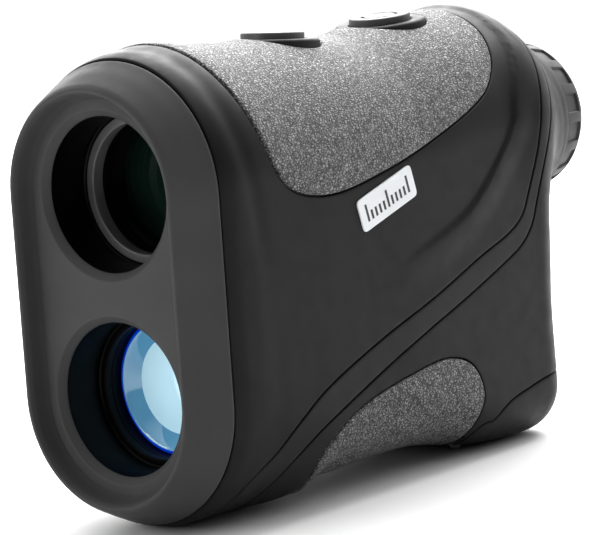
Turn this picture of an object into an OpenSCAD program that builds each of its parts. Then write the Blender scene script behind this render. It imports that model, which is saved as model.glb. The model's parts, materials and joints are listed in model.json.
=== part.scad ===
// Handheld laser rangefinder, built from its separate pieces.
// Frame: X across, Y from the front rim (-) to the eyecup (+), Z up. Millimetres.
// The origin is the middle of the footprint, on the plane that the body rests on.

/* [Overall] */
// Length from the front rim to the end of the eyecup
total_len = 119.5; // [119:0.5:122]
// Distance between the objective axis and the receiver axis
axis_gap = 33; // [32.5:0.5:34]
// Height of the receiver axis above the base
low_z = 21.9; // [21.7:0.1:22.4]
// Half width of the body at its middle
half_w = 21.2; // [20.8:0.1:21.8]
// Wall thickness of the two shells
wall = 2; // [1.8:0.1:2.2]
// Distance from the front rim to the rear wall
rear_y = 100; // [99.5:0.5:100.5]

/* [Front] */
// Radius of the two port bores in the front bezel
port_r = 12.5; // [12.3:0.1:12.7]
// Half width of the bezel at its front rim
rim_r = 17.4; // [17:0.1:17.8]
// Depth of the bezel's recessed face behind the rim
recess_depth = 3.4; // [2.6:0.1:3.8]
// Where the bezel ends and the main shell begins
seam_y = 7.6; // [7.4:0.1:7.8]

/* [Eyepiece] */
// Outer radius of the diopter ring at its front edge
ring_r = 14.9; // [14.6:0.1:15.2]
// Length of the diopter ring
ring_len = 8.6; // [8:0.1:8.8]
// Number of flutes around the diopter ring
flutes = 16; // [12:1:20]

/* [Buttons] */
// Radius of each button's cap
button_r = 5.4; // [5.2:0.1:5.8]
// Outer radius of the collar around each button
collar_r = 8; // [7.8:0.1:8.4]
// How far each cap stands above its collar
cap_rise = 1.15; // [0.9:0.05:1.3]
// How far the mode button's top falls towards the rear, in degrees
mode_tilt = 3.5; // [2:0.5:6]
// How far the fire button's top rises towards the rear, in degrees
fire_tilt = 5; // [3:0.5:6]

/* [Battery] */
// Radius of the battery cell
cell_r = 7.8; // [7.6:0.1:7.9]
// Length of the battery cell
cell_len = 27; // [26:0.5:27]

/* [Hidden] */
$fn = 64;
thin = 0.01;
reach = 30;
up_z = low_z + axis_gap;
mid_z = low_z + axis_gap / 2;
gap = 0.15;
facets = 36;

// The body's cross sections, from the seam to where the rear corner begins:
// [y, half width, rise above the upper axis, drop below the lower axis, bottom corner radius]
BODY = [
    [seam_y + 0.4, half_w - 0.2, 21.5, low_z - 0.7, 21],
    [10, half_w + 0.3, 22.0, low_z - 0.1, 21.4],
    [13, half_w + 0.5, 22.5, low_z, 21.5],
    [18, half_w + 0.4, 22.6, low_z, 21],
    [23, half_w + 0.3, 21.9, low_z - 0.1, 19.5],
    [31, half_w + 0.2, 21.3, low_z - 0.6, 17],
    [38, half_w + 0.1, 21.0, low_z - 2.0, 16],
    [46, half_w, 20.4, low_z - 3.2, 14.5],
    [54, half_w, 19.8, low_z - 3.7, 13],
    [62, half_w - 0.1, 19.7, low_z - 3.6, 12],
    [68, half_w - 0.2, 20.6, low_z - 2.8, 11],
    [74, half_w - 0.3, 21.2, low_z - 1.3, 10],
    [80, half_w - 0.4, 21.6, low_z - 0.4, 9.5],
    [86, half_w - 0.5, 21.9, low_z, 9.2],
    [rear_y - 9, half_w - 0.6, 22.1, low_z, 9.2]
];
corner_r = 9;

// The boss that carries the eyepiece: [y, radius, lift above the upper axis]
boss_end = rear_y + 8.7;
BOSS = [
    [rear_y - 7, 21, 0.5], [rear_y - 3, 20, 1.2], [rear_y, 18.8, 1.5], [rear_y + 3, 17.8, 1.2],
    [rear_y + 6, 16.8, 0.6], [rear_y + 8, 16, 0.1], [boss_end, 15.4, 0]
];

// The side view of the two seams that bound the trim band: [y, z], from below to above
SEAM_A = [
    [25, -2], [20.5, 5.5], [24.3, 14.3], [36, 22.2], [58.5, 29.8],
    [79.3, 36.4], [87.5, 43.2], [91.7, 53.5], [95.5, 64], [104, 80]
];
SEAM_B = [
    [32, -2], [25.5, 6.4], [28, 12.2], [40, 20], [61, 28],
    [82.8, 35.9], [90.8, 43.8], [94.5, 53.1], [98, 62.5], [107, 80]
];
// The side view of the two grip panels
UPPER_GRIP = [
    [16, 84], [16, 75], [17.2, 68], [19, 61], [21.5, 56], [26, 52.8], [34, 51.5], [44, 52.6],
    [60, 56.3], [76.5, 61.7], [83.5, 66], [86.8, 71], [85.8, 76], [85, 84]
];
LOWER_GRIP = [
    [33.5, -4], [30.5, 3], [29, 9], [32, 14], [41.6, 17.1], [57.7, 19.4], [65, 19.2],
    [70, 16.8], [72.5, 12], [71.5, 6], [70, -4]
];
// The top edge of the battery door in the side view, from its hinge to the rear
DOOR_EDGE = [[76.2, 5.8], [80, 8.6], [86.6, 10.1], [94, 11.2], [104, 11.8]];

mode_y = 47;
mode_z = 76.8;
fire_y = 76;
fire_z = 77.2;
board_top = 66.2;
switch_h = 2.6;
ring_y = rear_y + 9;
tube_r = 12;
pin_y = 75.2;
pin_z = 3.2;
pin_r = 1;
knuckle_r = 2.7;
running_gap = 0.05;
cell_y = 87.5;
cell_z = 5.6;

// ---- curves and lofts ----

// One point of the smooth curve through p[i] and p[i + 1], at t from 0 to 1
function knot(p, i) = p[max(0, min(len(p) - 1, i))];
function between(p, i, t) =
    let (a = knot(p, i - 1), b = knot(p, i), c = knot(p, i + 1), d = knot(p, i + 2))
    0.5 * (2 * b + (c - a) * t + (2 * a - 5 * b + 4 * c - d) * t * t
        + (3 * b - a - 3 * c + d) * t * t * t);
function curve(p, n = 4) =
    concat([for (i = [0 : len(p) - 2]) for (k = [0 : n - 1]) between(p, i, k / n)], [p[len(p) - 1]]);
function reversed(p) = [for (i = [len(p) - 1 : -1 : 0]) p[i]];

// Cross sections of the body, pulled in by inset: [y, half width, top z, bottom z, bottom radius]
function pulled(s, e) =
    [s[0], s[1] - e, up_z + s[2] - e, low_z - s[3] + e, max(1, min(s[4], s[1]) - e)];
function rear_arc(inset) =
    let (last = BODY[len(BODY) - 1], r = corner_r - inset)
    [for (a = [20, 40, 60, 75, 90])
        let (s = pulled(last, inset + r * (1 - cos(a))))
        [rear_y - corner_r + r * sin(a), s[1], s[2], s[3], s[4]]];
function sections(inset) = concat([for (s = BODY) pulled(s, inset)], rear_arc(inset));

module disc(x, y, z, r) {
    translate([x, y, z]) rotate([90, 0, 0]) cylinder(r = r, h = thin, $fn = facets);
}

module slice(s) {
    disc(0, s[0], s[2] - s[1], s[1]);
    for (side = [-1, 1]) disc(side * (s[1] - s[4]), s[0], s[3] + s[4], s[4]);
}

module body_loft(inset = 0) {
    st = sections(inset);
    for (i = [0 : len(st) - 2]) hull() {
        slice(st[i]);
        slice(st[i + 1]);
    }
}

module boss_loft(inset = 0) {
    for (i = [0 : len(BOSS) - 2]) hull() {
        for (b = [BOSS[i], BOSS[i + 1]]) disc(0, b[0] - inset, up_z + b[2], b[1] - inset);
    }
}

module outer_form(inset = 0) {
    body_loft(inset);
    boss_loft(inset);
}

// The hollow that both shells share, open at the front and at the eyepiece
module inner_form() {
    outer_form(wall);
    hull() {
        slice([seam_y - 1, 18.9, up_z + 18.9, low_z - 18.9, 18.9]);
        slice(sections(wall)[0]);
    }
    round_y(tube_r + 0.3, rear_y - 2, boss_end + 1, up_z);
}

// A prism across the body whose outline is given as [y, z] points
module across(points) {
    rotate([90, 0, 90]) linear_extrude(2 * reach, center = true) polygon(points);
}

module main_region() {
    across(concat(curve(SEAM_A), [[104, 90], [-5, 90], [-5, -2]]));
}

module rear_region() {
    across(concat(curve(SEAM_B), [[130, 80], [130, -2]]));
}

module band_region() {
    rotate([90, 0, 90]) linear_extrude(2 * reach, center = true)
        offset(delta = -gap) polygon(concat(curve(SEAM_A), reversed(curve(SEAM_B))));
}

module grip_region(outline, shrink) {
    rotate([90, 0, 90]) linear_extrude(2 * reach, center = true)
        offset(delta = -shrink) polygon(curve(outline, 3));
}

module door_region(grow) {
    rotate([90, 0, 90]) linear_extrude(2 * reach, center = true) offset(delta = grow) {
        polygon(concat(curve(DOOR_EDGE, 3), [[104, -4], [pin_y, -4]]));
        translate([pin_y, pin_z]) circle(knuckle_r, $fn = facets);
    }
}

// ---- simple solids about the Y axis ----

module round_y(r, y0, y1, z, x = 0) {
    translate([x, y0, z]) rotate([-90, 0, 0]) cylinder(r = r, h = y1 - y0);
}

module tube_y(r_out, r_in, y0, y1, z) {
    difference() {
        round_y(r_out, y0, y1, z);
        round_y(r_in, y0 - 1, y1 + 1, z);
    }
}

module turned_y(profile, z) {
    translate([0, 0, z]) rotate([-90, 0, 0]) rotate_extrude() polygon(profile);
}

module race(r, y0, y1) {
    for (z = [low_z, up_z]) round_y(r, y0, y1, z);
    translate([-r, y0, low_z]) cube([2 * r, y1 - y0, axis_gap]);
}

module block(x0, x1, y0, y1, z0, z1) {
    translate([x0, y0, z0]) cube([x1 - x0, y1 - y0, z1 - z0]);
}

// Puts its children, measured from the front rim, into the part's frame
module from_rim() {
    translate([0, -total_len / 2, 0]) children();
}

module at_button(y, z, tilt) {
    translate([0, y, z]) rotate([tilt, 0, 0]) children();
}

// ---- front ----

boss_x = 12.6;
plate_y = 14.2;

module bezel_outline() {
    polygon([
        [0, 0], [rim_r - 0.5, 0], [rim_r, 0.4], [rim_r + 1, 1.9], [rim_r + 2, 3.9],
        [rim_r + 2.8, 5.9], [half_w - 0.3, seam_y - 0.2], [half_w - 0.5, seam_y], [0, seam_y]
    ]);
}

module front_bezel() {
    floor_y = recess_depth + 2.2;
    color([0.3, 0.3, 0.31]) from_rim() {
        difference() {
            union() {
                hull() for (z = [low_z, up_z])
                    translate([0, 0, z]) rotate([-90, 0, 0]) rotate_extrude($fn = 48) bezel_outline();
                race(18.4, seam_y - 1, plate_y - 0.2);
            }
            race(rim_r - 1.8, -1, recess_depth);
            race(16.8, floor_y, plate_y + 1);
            for (z = [low_z, up_z]) round_y(port_r, -1, plate_y, z);
        }
        for (z = [low_z, up_z]) tube_y(port_r + 1.5, port_r, floor_y - 0.5, 11.8, z);
        for (x = [-boss_x, boss_x]) difference() {
            round_y(2.4, floor_y - 0.5, plate_y - 0.2, mid_z, x);
            round_y(0.8, floor_y + 1, plate_y, mid_z, x);
        }
    }
}

module bezel_gasket() {
    color([0.05, 0.05, 0.05]) from_rim() difference() {
        race(half_w - 0.8, seam_y, seam_y + 0.38);
        race(18.5, seam_y - 1, seam_y + 1);
    }
}

module barrel_clamp() {
    color([0.2, 0.2, 0.2]) from_rim() difference() {
        race(18, plate_y, plate_y + 2);
        for (z = [low_z, up_z]) round_y(14.1, plate_y - 1, plate_y + 3, z);
        for (x = [-boss_x, boss_x]) round_y(1.1, plate_y - 1, plate_y + 3, mid_z, x);
    }
}

module bezel_screws() {
    color([0.6, 0.6, 0.62]) from_rim() for (x = [-boss_x, boss_x]) {
        round_y(0.8, plate_y - 6, plate_y + 2.5, mid_z, x);
        round_y(1.9, plate_y + 2, plate_y + 3.4, mid_z, x);
    }
}

// ---- housing ----

module button_holes(extra) {
    at_button(mode_y, mode_z, -mode_tilt) cylinder(r = collar_r + extra, h = 20, center = true);
    at_button(fire_y, fire_z, fire_tilt) cylinder(r = collar_r + extra, h = 20, center = true);
}

module main_shell() {
    color([0.2, 0.2, 0.2]) from_rim() difference() {
        intersection() {
            outer_form();
            main_region();
        }
        inner_form();
        difference() {
            grip_region(UPPER_GRIP, 0);
            body_loft(1.05);
        }
        button_holes(0.1);
    }
}

module rear_shell() {
    color([0.2, 0.2, 0.2]) from_rim() difference() {
        intersection() {
            outer_form();
            rear_region();
        }
        inner_form();
        difference() {
            grip_region(LOWER_GRIP, 0);
            body_loft(1.05);
        }
        door_region(0.3);
        block(-12.3, 12.3, pin_y - 3, 79.3, -2, 9.3);
    }
}

module trim_band() {
    color([0.21, 0.21, 0.21]) from_rim() difference() {
        intersection() {
            outer_form();
            band_region();
        }
        inner_form();
    }
}

module upper_grip() {
    color([0.42, 0.42, 0.42]) from_rim() difference() {
        intersection() {
            body_loft(-0.25);
            grip_region(UPPER_GRIP, gap);
        }
        body_loft(0.95);
        button_holes(0.2);
    }
}

module lower_grip() {
    color([0.36, 0.36, 0.35]) from_rim() difference() {
        intersection() {
            body_loft(-0.25);
            grip_region(LOWER_GRIP, gap);
        }
        body_loft(0.95);
    }
}

// ---- buttons ----

cap_h = 3.65;
lip_h = 1;
collar_base = -5.6;
stem_z = board_top + switch_h + 1.15;

module collar() {
    difference() {
        translate([0, 0, collar_base]) cylinder(r = collar_r, h = -collar_base - cap_rise);
        translate([0, 0, collar_base - 1]) cylinder(r = button_r + 0.2, h = 10);
        translate([0, 0, collar_base - 1]) cylinder(r = button_r + 1.2, h = 1.05 - collar_base - cap_h);
    }
}

module button_collars() {
    color([0.22, 0.22, 0.22]) from_rim() {
        at_button(mode_y, mode_z, -mode_tilt) collar();
        at_button(fire_y, fire_z, fire_tilt) collar();
    }
}

module cap(height) {
    translate([0, 0, -cap_h]) cylinder(r = button_r, h = cap_h);
    translate([0, 0, -cap_h - lip_h]) cylinder(r = button_r + 0.9, h = lip_h);
    translate([0, 0, -height]) cylinder(r = 1.3, h = height - cap_h);
}

module mode_button() {
    color([0.3, 0.3, 0.3]) from_rim() at_button(mode_y, mode_z, -mode_tilt) cap(mode_z - stem_z);
}

module fire_button() {
    color([0.3, 0.3, 0.3]) from_rim() at_button(fire_y, fire_z, fire_tilt) cap(fire_z - stem_z);
}

module button_board() {
    color([0.1, 0.35, 0.2]) from_rim() block(-6.5, 6.5, mode_y - 6, fire_y + 5, board_top - 1, board_top);
}

module switch_case(y) {
    difference() {
        block(-3, 3, y - 3, y + 3, board_top, board_top + switch_h);
        translate([0, y, board_top + 0.5]) cylinder(r = 1.7, h = 5);
    }
}

module button_switches() {
    color([0.12, 0.12, 0.12]) from_rim() for (y = [mode_y - 0.6, fire_y + 0.7]) switch_case(y);
}

module plunger(y) {
    translate([0, y, board_top + 1.3]) cylinder(r = 1.6, h = switch_h - 0.3);
}

module mode_plunger() {
    color([0.75, 0.75, 0.7]) from_rim() plunger(mode_y - 0.6);
}

module fire_plunger() {
    color([0.75, 0.75, 0.7]) from_rim() plunger(fire_y + 0.7);
}

// ---- optics ----

module barrel(z, seat_y, end_y) {
    difference() {
        union() {
            round_y(13.9, 12, end_y, z);
            round_y(14.6, 12, plate_y - 0.1, z);
        }
        round_y(12.2, 11, seat_y - 1.5, z);
        round_y(11.7, 11, seat_y, z);
        round_y(11.4, 11, seat_y + 5.5, z);
        round_y(10.4, 11, end_y + 1, z);
    }
}

// A lens with two bulging faces: y0 and y1 are its rim, the crowns stand out by c0 and c1
module lens(r, y0, y1, c0, c1, z) {
    turned_y(concat(
        [for (t = [0 : 0.125 : 1]) [r * t, y0 - c0 * (1 - t * t)]],
        [for (t = [1 : -0.125 : 0]) [r * t, y1 + c1 * (1 - t * t)]]), z);
}

module objective_barrel() {
    color([0.08, 0.08, 0.08]) from_rim() barrel(up_z, 19.5, 36);
}

module objective_ring() {
    color([0.35, 0.35, 0.36]) from_rim() tube_y(12.15, 10.7, 13.3, 14.9, up_z);
}

module objective_lens() {
    color([0.05, 0.16, 0.12, 0.6]) from_rim() lens(11.3, 21.6, 24.2, 1.4, 0.5, up_z);
}

module receiver_barrel() {
    color([0.08, 0.08, 0.08]) from_rim() barrel(low_z, 15.3, 30);
}

module receiver_ring() {
    color([0.1, 0.1, 0.1]) from_rim() tube_y(12.15, 11.2, 12.1, 13.7, low_z);
}

module receiver_lens() {
    color([0.1, 0.25, 0.7, 0.6]) from_rim() lens(11.3, 16.9, 20, 1.4, 0.4, low_z);
}

cone_end = 58;

module receiver_cone() {
    color([0.1, 0.1, 0.1]) from_rim() translate([0, 0, low_z]) rotate([-90, 0, 0]) difference() {
        union() {
            translate([0, 0, 30.1]) cylinder(r1 = 13.9, r2 = 7, h = cone_end - 30.1);
            translate([0, 0, cone_end]) cylinder(r = 7, h = 6);
        }
        translate([0, 0, 30]) cylinder(r1 = 10.4, r2 = 5, h = cone_end - 30);
        translate([0, 0, 30]) cylinder(r = 4.6, h = 40);
        translate([0, 0, cone_end]) cylinder(r = 5.2, h = 2);
    }
}

module band_filter() {
    color([0.35, 0.1, 0.15, 0.7]) from_rim() round_y(5.1, cone_end + 0.1, cone_end + 1.4, low_z);
}

module photodiode() {
    color([0.7, 0.65, 0.4]) from_rim() round_y(4.5, cone_end + 2.4, cone_end + 6.6, low_z);
}

module receiver_board() {
    color([0.1, 0.35, 0.2]) from_rim()
        block(-11, 11, cone_end + 6.7, cone_end + 7.7, low_z - 10, low_z + 10);
}

// The frame that carries the prism behind the objective: a bulkhead, two rails and a shelf
rail_x = 13.2;
shelf_z = up_z - 11;

module optical_frame() {
    color([0.15, 0.15, 0.16]) from_rim() difference() {
        union() {
            race(17.5, 32.2, 35.8);
            for (side = [-1, 1])
                block(side * rail_x - 1, side * rail_x + 1, 35.6, 86, shelf_z - 4, shelf_z + 6);
            block(-rail_x, rail_x, 46, 86, shelf_z - 1.6, shelf_z);
        }
        round_y(13.95, 30, 40, up_z);
        round_y(13.8, 30, 40, low_z);
        round_y(4.4, 30, 40, mid_z);
        translate([0, 62, shelf_z - 3]) cylinder(r = 4.2, h = 6);
    }
}

module prism_block() {
    color([0.7, 0.85, 0.9, 0.5]) from_rim() difference() {
        block(-9, 9, 50, 76, shelf_z + 0.05, up_z + 9);
        translate([-10, 50, up_z + 9]) rotate([-40, 0, 0]) block(0, 20, -20, 0, -20, 20);
        translate([-10, 76, up_z + 9]) rotate([40, 0, 0]) block(0, 20, 0, 20, -20, 20);
    }
}

module laser_diode() {
    color([0.72, 0.6, 0.3]) from_rim() translate([0, 62, 0]) {
        translate([0, 0, shelf_z - 7]) cylinder(r = 4.1, h = 6.9);
        translate([0, 0, shelf_z - 9]) cylinder(r = 5.5, h = 2);
    }
}

module display_module() {
    color([0.1, 0.1, 0.12]) from_rim() difference() {
        block(-9, 9, 80, 84, shelf_z + 0.05, up_z + 9);
        round_y(6, 79, 85, up_z);
    }
    color([0.5, 0.6, 0.5, 0.6]) from_rim() round_y(5.95, 81.4, 82.6, up_z);
}

// ---- eyepiece ----

module eyepiece_tube() {
    color([0.1, 0.1, 0.1]) from_rim() difference() {
        union() {
            round_y(tube_r, 92, ring_y + ring_len - 2.2, up_z);
            round_y(tube_r + 3, 92, 95, up_z);
        }
        round_y(10.2, 94, ring_y + ring_len, up_z);
        round_y(8, 90, 96, up_z);
    }
}

module ocular_cell() {
    color([0.12, 0.12, 0.12]) from_rim() difference() {
        round_y(10.2 - running_gap, 100, 112.5, up_z);
        round_y(7, 99, 114, up_z);
        round_y(9, 103, 114, up_z);
    }
}

module ocular_lens() {
    color([0.6, 0.7, 0.8, 0.5]) from_rim() lens(8.95, 104.6, 109.4, 1.2, 1.5, up_z);
}

module eyepiece_seal() {
    color([0.04, 0.04, 0.04]) from_rim() tube_y(14, tube_r + 0.2, boss_end + 0.02, ring_y - 0.05, up_z);
}

module diopter_ring() {
    back = ring_y + ring_len;
    color([0.34, 0.34, 0.33]) from_rim() difference() {
        turned_y([
            [tube_r + running_gap, ring_y], [ring_r - 0.4, ring_y], [ring_r, ring_y + 0.5],
            [ring_r - 0.3, ring_y + 2.6], [13.6, back - 0.4], [13.1, back],
            [10.6, back], [10.6, back - 1.6], [tube_r + running_gap, back - 1.6]
        ], up_z);
        for (k = [0 : flutes - 1]) translate([0, 0, up_z]) rotate([0, k * 360 / flutes, 0])
            block(-1.1, 1.1, ring_y + 2.8, back - 1, 13.5, 16);
    }
}

module eyecup() {
    back = ring_y + ring_len;
    color([0.07, 0.07, 0.07]) from_rim() turned_y([
        [9.3, back + 0.05], [12.4, back + 0.05], [12.3, total_len - 0.5],
        [11.6, total_len], [10.2, total_len], [9.3, total_len - 0.8]
    ], up_z);
}

// ---- electronics ----

board_x = -17.4;

module main_board() {
    color([0.08, 0.32, 0.18]) from_rim() difference() {
        block(board_x, board_x + 1.2, 38, 84, mid_z - 12, mid_z + 14);
        for (y = [41, 81], z = [mid_z - 9, mid_z + 11])
            translate([board_x - 1, y, z]) rotate([0, 90, 0]) cylinder(r = 0.9, h = 4);
    }
}

module board_parts() {
    x = board_x + 1.2;
    color([0.1, 0.1, 0.1]) from_rim() {
        block(x, x + 1.4, 45, 55, mid_z - 2, mid_z + 8);
        block(x, x + 1.1, 58, 64, mid_z, mid_z + 6);
        block(x, x + 1.6, 68, 78, mid_z - 8, mid_z - 1);
        for (k = [0 : 3]) block(x, x + 0.8, 46 + 3 * k, 48 + 3 * k, mid_z - 9, mid_z - 5);
    }
}

module board_screws() {
    color([0.65, 0.65, 0.66]) from_rim() for (y = [41, 81], z = [mid_z - 9, mid_z + 11])
        translate([board_x - 0.9, y, z]) rotate([0, 90, 0]) {
            cylinder(r = 1.5, h = 0.9);
            cylinder(r = 0.8, h = 2.9);
        }
}

// ---- battery and its door ----

module battery() {
    color([0.75, 0.6, 0.25]) from_rim() translate([0, cell_y, cell_z]) {
        cylinder(r = cell_r, h = cell_len - 0.8);
        cylinder(r = 3.2, h = cell_len);
    }
}

module battery_sleeve() {
    color([0.15, 0.15, 0.15]) from_rim() translate([0, cell_y, 0]) difference() {
        translate([0, 0, 12]) cylinder(r = cell_r + 1.4, h = cell_z + cell_len + 2.6 - 12);
        translate([0, 0, 11]) cylinder(r = cell_r + 0.3, h = cell_z + cell_len + 1 - 11);
    }
}

module battery_contact() {
    color([0.8, 0.75, 0.5]) from_rim() translate([0, cell_y, cell_z + cell_len + 0.1])
        cylinder(r = 5, h = 0.6);
}

// The strip of the door frame inside the door: its rear end and its underside
frame_end = 94;
frame_z = 1.9;

module battery_door() {
    color([0.22, 0.22, 0.21]) from_rim() difference() {
        intersection() {
            outer_form();
            door_region(0);
        }
        outer_form(1.8);
        block(-12.5, 12.5, pin_y - 4, 78.2, -2, 8);
        block(-6.8, 6.8, pin_y, frame_end + 0.1, frame_z - 0.05, 4);
    }
}

module door_frame() {
    color([0.25, 0.25, 0.25]) from_rim() difference() {
        union() {
            translate([-6.7, pin_y, pin_z]) rotate([0, 90, 0]) cylinder(r = knuckle_r, h = 13.4);
            block(-6.7, 6.7, pin_y, frame_end, frame_z, frame_z + 1);
            block(-6.7, 6.7, pin_y, 78.1, 0.7, frame_z + 1);
        }
        translate([-10, pin_y, pin_z]) rotate([0, 90, 0]) cylinder(r = pin_r + running_gap, h = 20);
    }
}

module door_spring() {
    wire = 0.45;
    color([0.8, 0.75, 0.5]) from_rim() translate([0, cell_y, 2.95]) {
        for (k = [0 : 2]) translate([0, 0, wire + 0.75 * k]) rotate_extrude()
            translate([4 - 0.5 * k, 0]) circle(wire, $fn = 16);
        cylinder(r = 2.6, h = 0.4);
    }
}

module hinge_block() {
    color([0.15, 0.15, 0.15]) from_rim() difference() {
        union() for (side = [-1, 1]) translate([side * 9.5, 0, 0]) {
            translate([-2.5, pin_y, pin_z]) rotate([0, 90, 0]) cylinder(r = knuckle_r, h = 5);
            block(-2.5, 2.5, pin_y - knuckle_r, 78, pin_z, 9);
        }
        translate([-15, pin_y, pin_z]) rotate([0, 90, 0]) cylinder(r = pin_r, h = 30);
    }
}

module hinge_pin() {
    color([0.7, 0.7, 0.7]) from_rim()
        translate([-12, pin_y, pin_z]) rotate([0, 90, 0]) cylinder(r = pin_r, h = 24);
}

// ---- label ----

module label_plate() {
    color([0.82, 0.83, 0.84]) from_rim() translate([half_w + 0.08, 49.2, mid_z + 10.6])
        rotate([17, 0, 0]) {
            block(0, 0.35, -7.6, 7.6, -2, 2);
            block(0, 0.35, -6.8, 6.8, -2.8, 2.8);
            for (y = [-6.8, 6.8], z = [-2, 2])
                translate([0, y, z]) rotate([0, 90, 0]) cylinder(r = 0.8, h = 0.35);
        }
}

front_bezel();
bezel_gasket();
barrel_clamp();
bezel_screws();
main_shell();
rear_shell();
trim_band();
upper_grip();
lower_grip();
button_collars();
mode_button();
fire_button();
button_board();
button_switches();
mode_plunger();
fire_plunger();
objective_barrel();
objective_ring();
objective_lens();
receiver_barrel();
receiver_ring();
receiver_lens();
receiver_cone();
band_filter();
photodiode();
receiver_board();
optical_frame();
prism_block();
laser_diode();
display_module();
eyepiece_tube();
ocular_cell();
ocular_lens();
eyepiece_seal();
diopter_ring();
eyecup();
main_board();
board_parts();
board_screws();
battery();
battery_sleeve();
battery_contact();
battery_door();
door_frame();
door_spring();
hinge_block();
hinge_pin();
label_plate();
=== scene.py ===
import json
import math

import bmesh
import bpy
import numpy as np
from mathutils import Matrix, Vector
from mathutils.geometry import delaunay_2d_cdt


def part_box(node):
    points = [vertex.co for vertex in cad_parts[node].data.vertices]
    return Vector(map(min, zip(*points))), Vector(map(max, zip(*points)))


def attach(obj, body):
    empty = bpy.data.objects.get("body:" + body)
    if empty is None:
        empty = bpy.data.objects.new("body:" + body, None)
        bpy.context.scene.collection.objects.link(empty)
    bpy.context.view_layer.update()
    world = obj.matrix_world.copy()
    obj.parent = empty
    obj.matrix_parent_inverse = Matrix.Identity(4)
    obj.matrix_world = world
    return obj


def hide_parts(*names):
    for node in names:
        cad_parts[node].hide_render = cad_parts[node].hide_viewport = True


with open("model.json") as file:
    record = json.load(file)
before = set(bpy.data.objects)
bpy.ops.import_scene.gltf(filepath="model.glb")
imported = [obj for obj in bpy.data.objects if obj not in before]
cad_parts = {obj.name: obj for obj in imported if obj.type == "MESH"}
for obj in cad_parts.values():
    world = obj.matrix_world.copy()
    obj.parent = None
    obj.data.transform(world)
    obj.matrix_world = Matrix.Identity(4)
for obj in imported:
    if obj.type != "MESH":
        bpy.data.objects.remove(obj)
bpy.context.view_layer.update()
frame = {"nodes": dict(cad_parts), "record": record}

# ---- measures, in millimetres; y is counted from the front rim ----

MM = 0.001


def span(node):
    low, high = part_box(node)
    return np.array(low) / MM, np.array(high) / MM


def middle(node):
    low, high = span(node)
    return (low + high) / 2


FRONT = span("front_bezel")[0][1]
UP_Z = middle("objective_lens")[2]
LOW_Z = middle("receiver_lens")[2]
MID_Z = (UP_Z + LOW_Z) / 2
SEAM_Y = span("bezel_gasket")[0][1] - FRONT
LABEL_GAP = 0.08
HALF_W = span("label_plate")[0][0] - LABEL_GAP
REAR_Y = 100.0
REAR_CORNER = 7.4
SEAL_GAP = 0.02
BOSS_END = span("eyepiece_seal")[0][1] - FRONT - SEAL_GAP
RING_Y = span("diopter_ring")[0][1] - FRONT
RING_END = span("diopter_ring")[1][1] - FRONT
EYECUP_END = span("eyecup")[1][1] - FRONT
TUBE_R = 12.05
PORT_R = 12.5
RECESS = 3.4
# the surface's mesh size, how near its points snap to a seam, and half of a seam's width
STEP = 0.8
SNAP = 0.17
GAP = 0.14
# how deep the grips' beds lie, and how far a bed runs in under its grip
BED_DEPTH = 1.15
BED_MARGIN = 0.5

# [y, half width, rise above the upper axis, height of the underside, bottom corner radius]
BODY = [
    [SEAM_Y, 20.9, 21.3, 0.8, 20.8],
    [10, 21.5, 22.0, 0.1, 21.3],
    [13, 21.7, 22.5, 0.0, 21.4],
    [18, 21.6, 22.6, 0.0, 21.0],
    [23, 21.5, 21.9, 0.1, 19.5],
    [31, 21.4, 21.3, 0.6, 17.0],
    [38, 21.3, 21.0, 2.0, 16.0],
    [46, 21.2, 20.4, 3.2, 14.5],
    [54, 21.2, 19.8, 3.7, 13.0],
    [62, 21.1, 19.7, 3.6, 12.0],
    [68, 21.0, 20.6, 2.8, 11.0],
    [74, 20.9, 21.2, 1.3, 10.0],
    [80, 20.8, 21.6, 0.4, 9.5],
    [86, 20.7, 21.6, 0.0, 9.2],
    [91, 20.6, 21.5, 0.0, 9.2],
    [REAR_Y + 2, 20.6, 21.2, 0.0, 9.2],
]
# [y, radius, lift above the upper axis] of the boss that carries the eyepiece
BOSS = [
    [80, 13.0, 0.0], [88, 17.6, 0.3], [93, 19.2, 0.5], [97, 19.0, 0.9], [100, 18.3, 1.2],
    [103, 17.5, 1.1], [106, 16.6, 0.6], [BOSS_END, 15.6, 0.1], [BOSS_END + 4, 15.2, 0.0],
]
BOSS_BLEND = 6.0
# [z, y] of the rear wall, slightly hollow
REAR_WALL = [
    [-5, 100.1], [11, 99.8], [24, 99.4], [33, 99.9], [48, 100.6], [62, 101.0], [85, 101.0],
]

# side views of the seams, the grips, the door's edge and the fold, as [y, z]
SEAM_A = [
    [12, -14], [12, -3], [13.0, 4], [14.4, 8], [18.4, 11.9], [22.8, 16.2], [30.4, 20.6], [45, 25.9],
    [60.3, 30.6], [73.3, 35.2], [81.6, 37.8], [86.2, 40.2], [88.7, 43.6], [91.4, 50.6],
    [94.3, 61.2], [98.5, 70], [104, 80], [109, 90],
]
SEAM_B = [
    [19, -14], [19, -3], [19.6, 3], [21.3, 6.8], [24.3, 10.7], [30.1, 14.8], [45, 20.7], [57, 25],
    [69.7, 29.2], [80.7, 33.2], [86, 35.5], [89.3, 38.3], [91.4, 42.3], [94, 50.2],
    [96.2, 55.9], [98.9, 62], [103.5, 71], [108.5, 80], [113.5, 90],
]
UPPER_GRIP = [
    [16, 96], [16, 84], [16, 75], [17.2, 68], [19, 61], [21.5, 56], [26, 52.8], [34, 51.5],
    [44, 52.6], [60, 56.3], [76.5, 61.7], [83.5, 66], [87.7, 71], [90, 76.2], [92.5, 84], [95, 96],
]
LOWER_GRIP = [
    [35, -14], [33.5, -4], [30.9, 3], [29.6, 8.4], [33.2, 12.8], [41.6, 16.6], [57.7, 19.4], [65, 19.2],
    [70, 16.8], [72.5, 12], [71.5, 6], [70, -4], [70, -14],
]
DOOR_EDGE = [[76.2, 5.8], [80, 8.6], [86.6, 10.1], [94, 11.2], [106, 11.8]]
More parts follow.
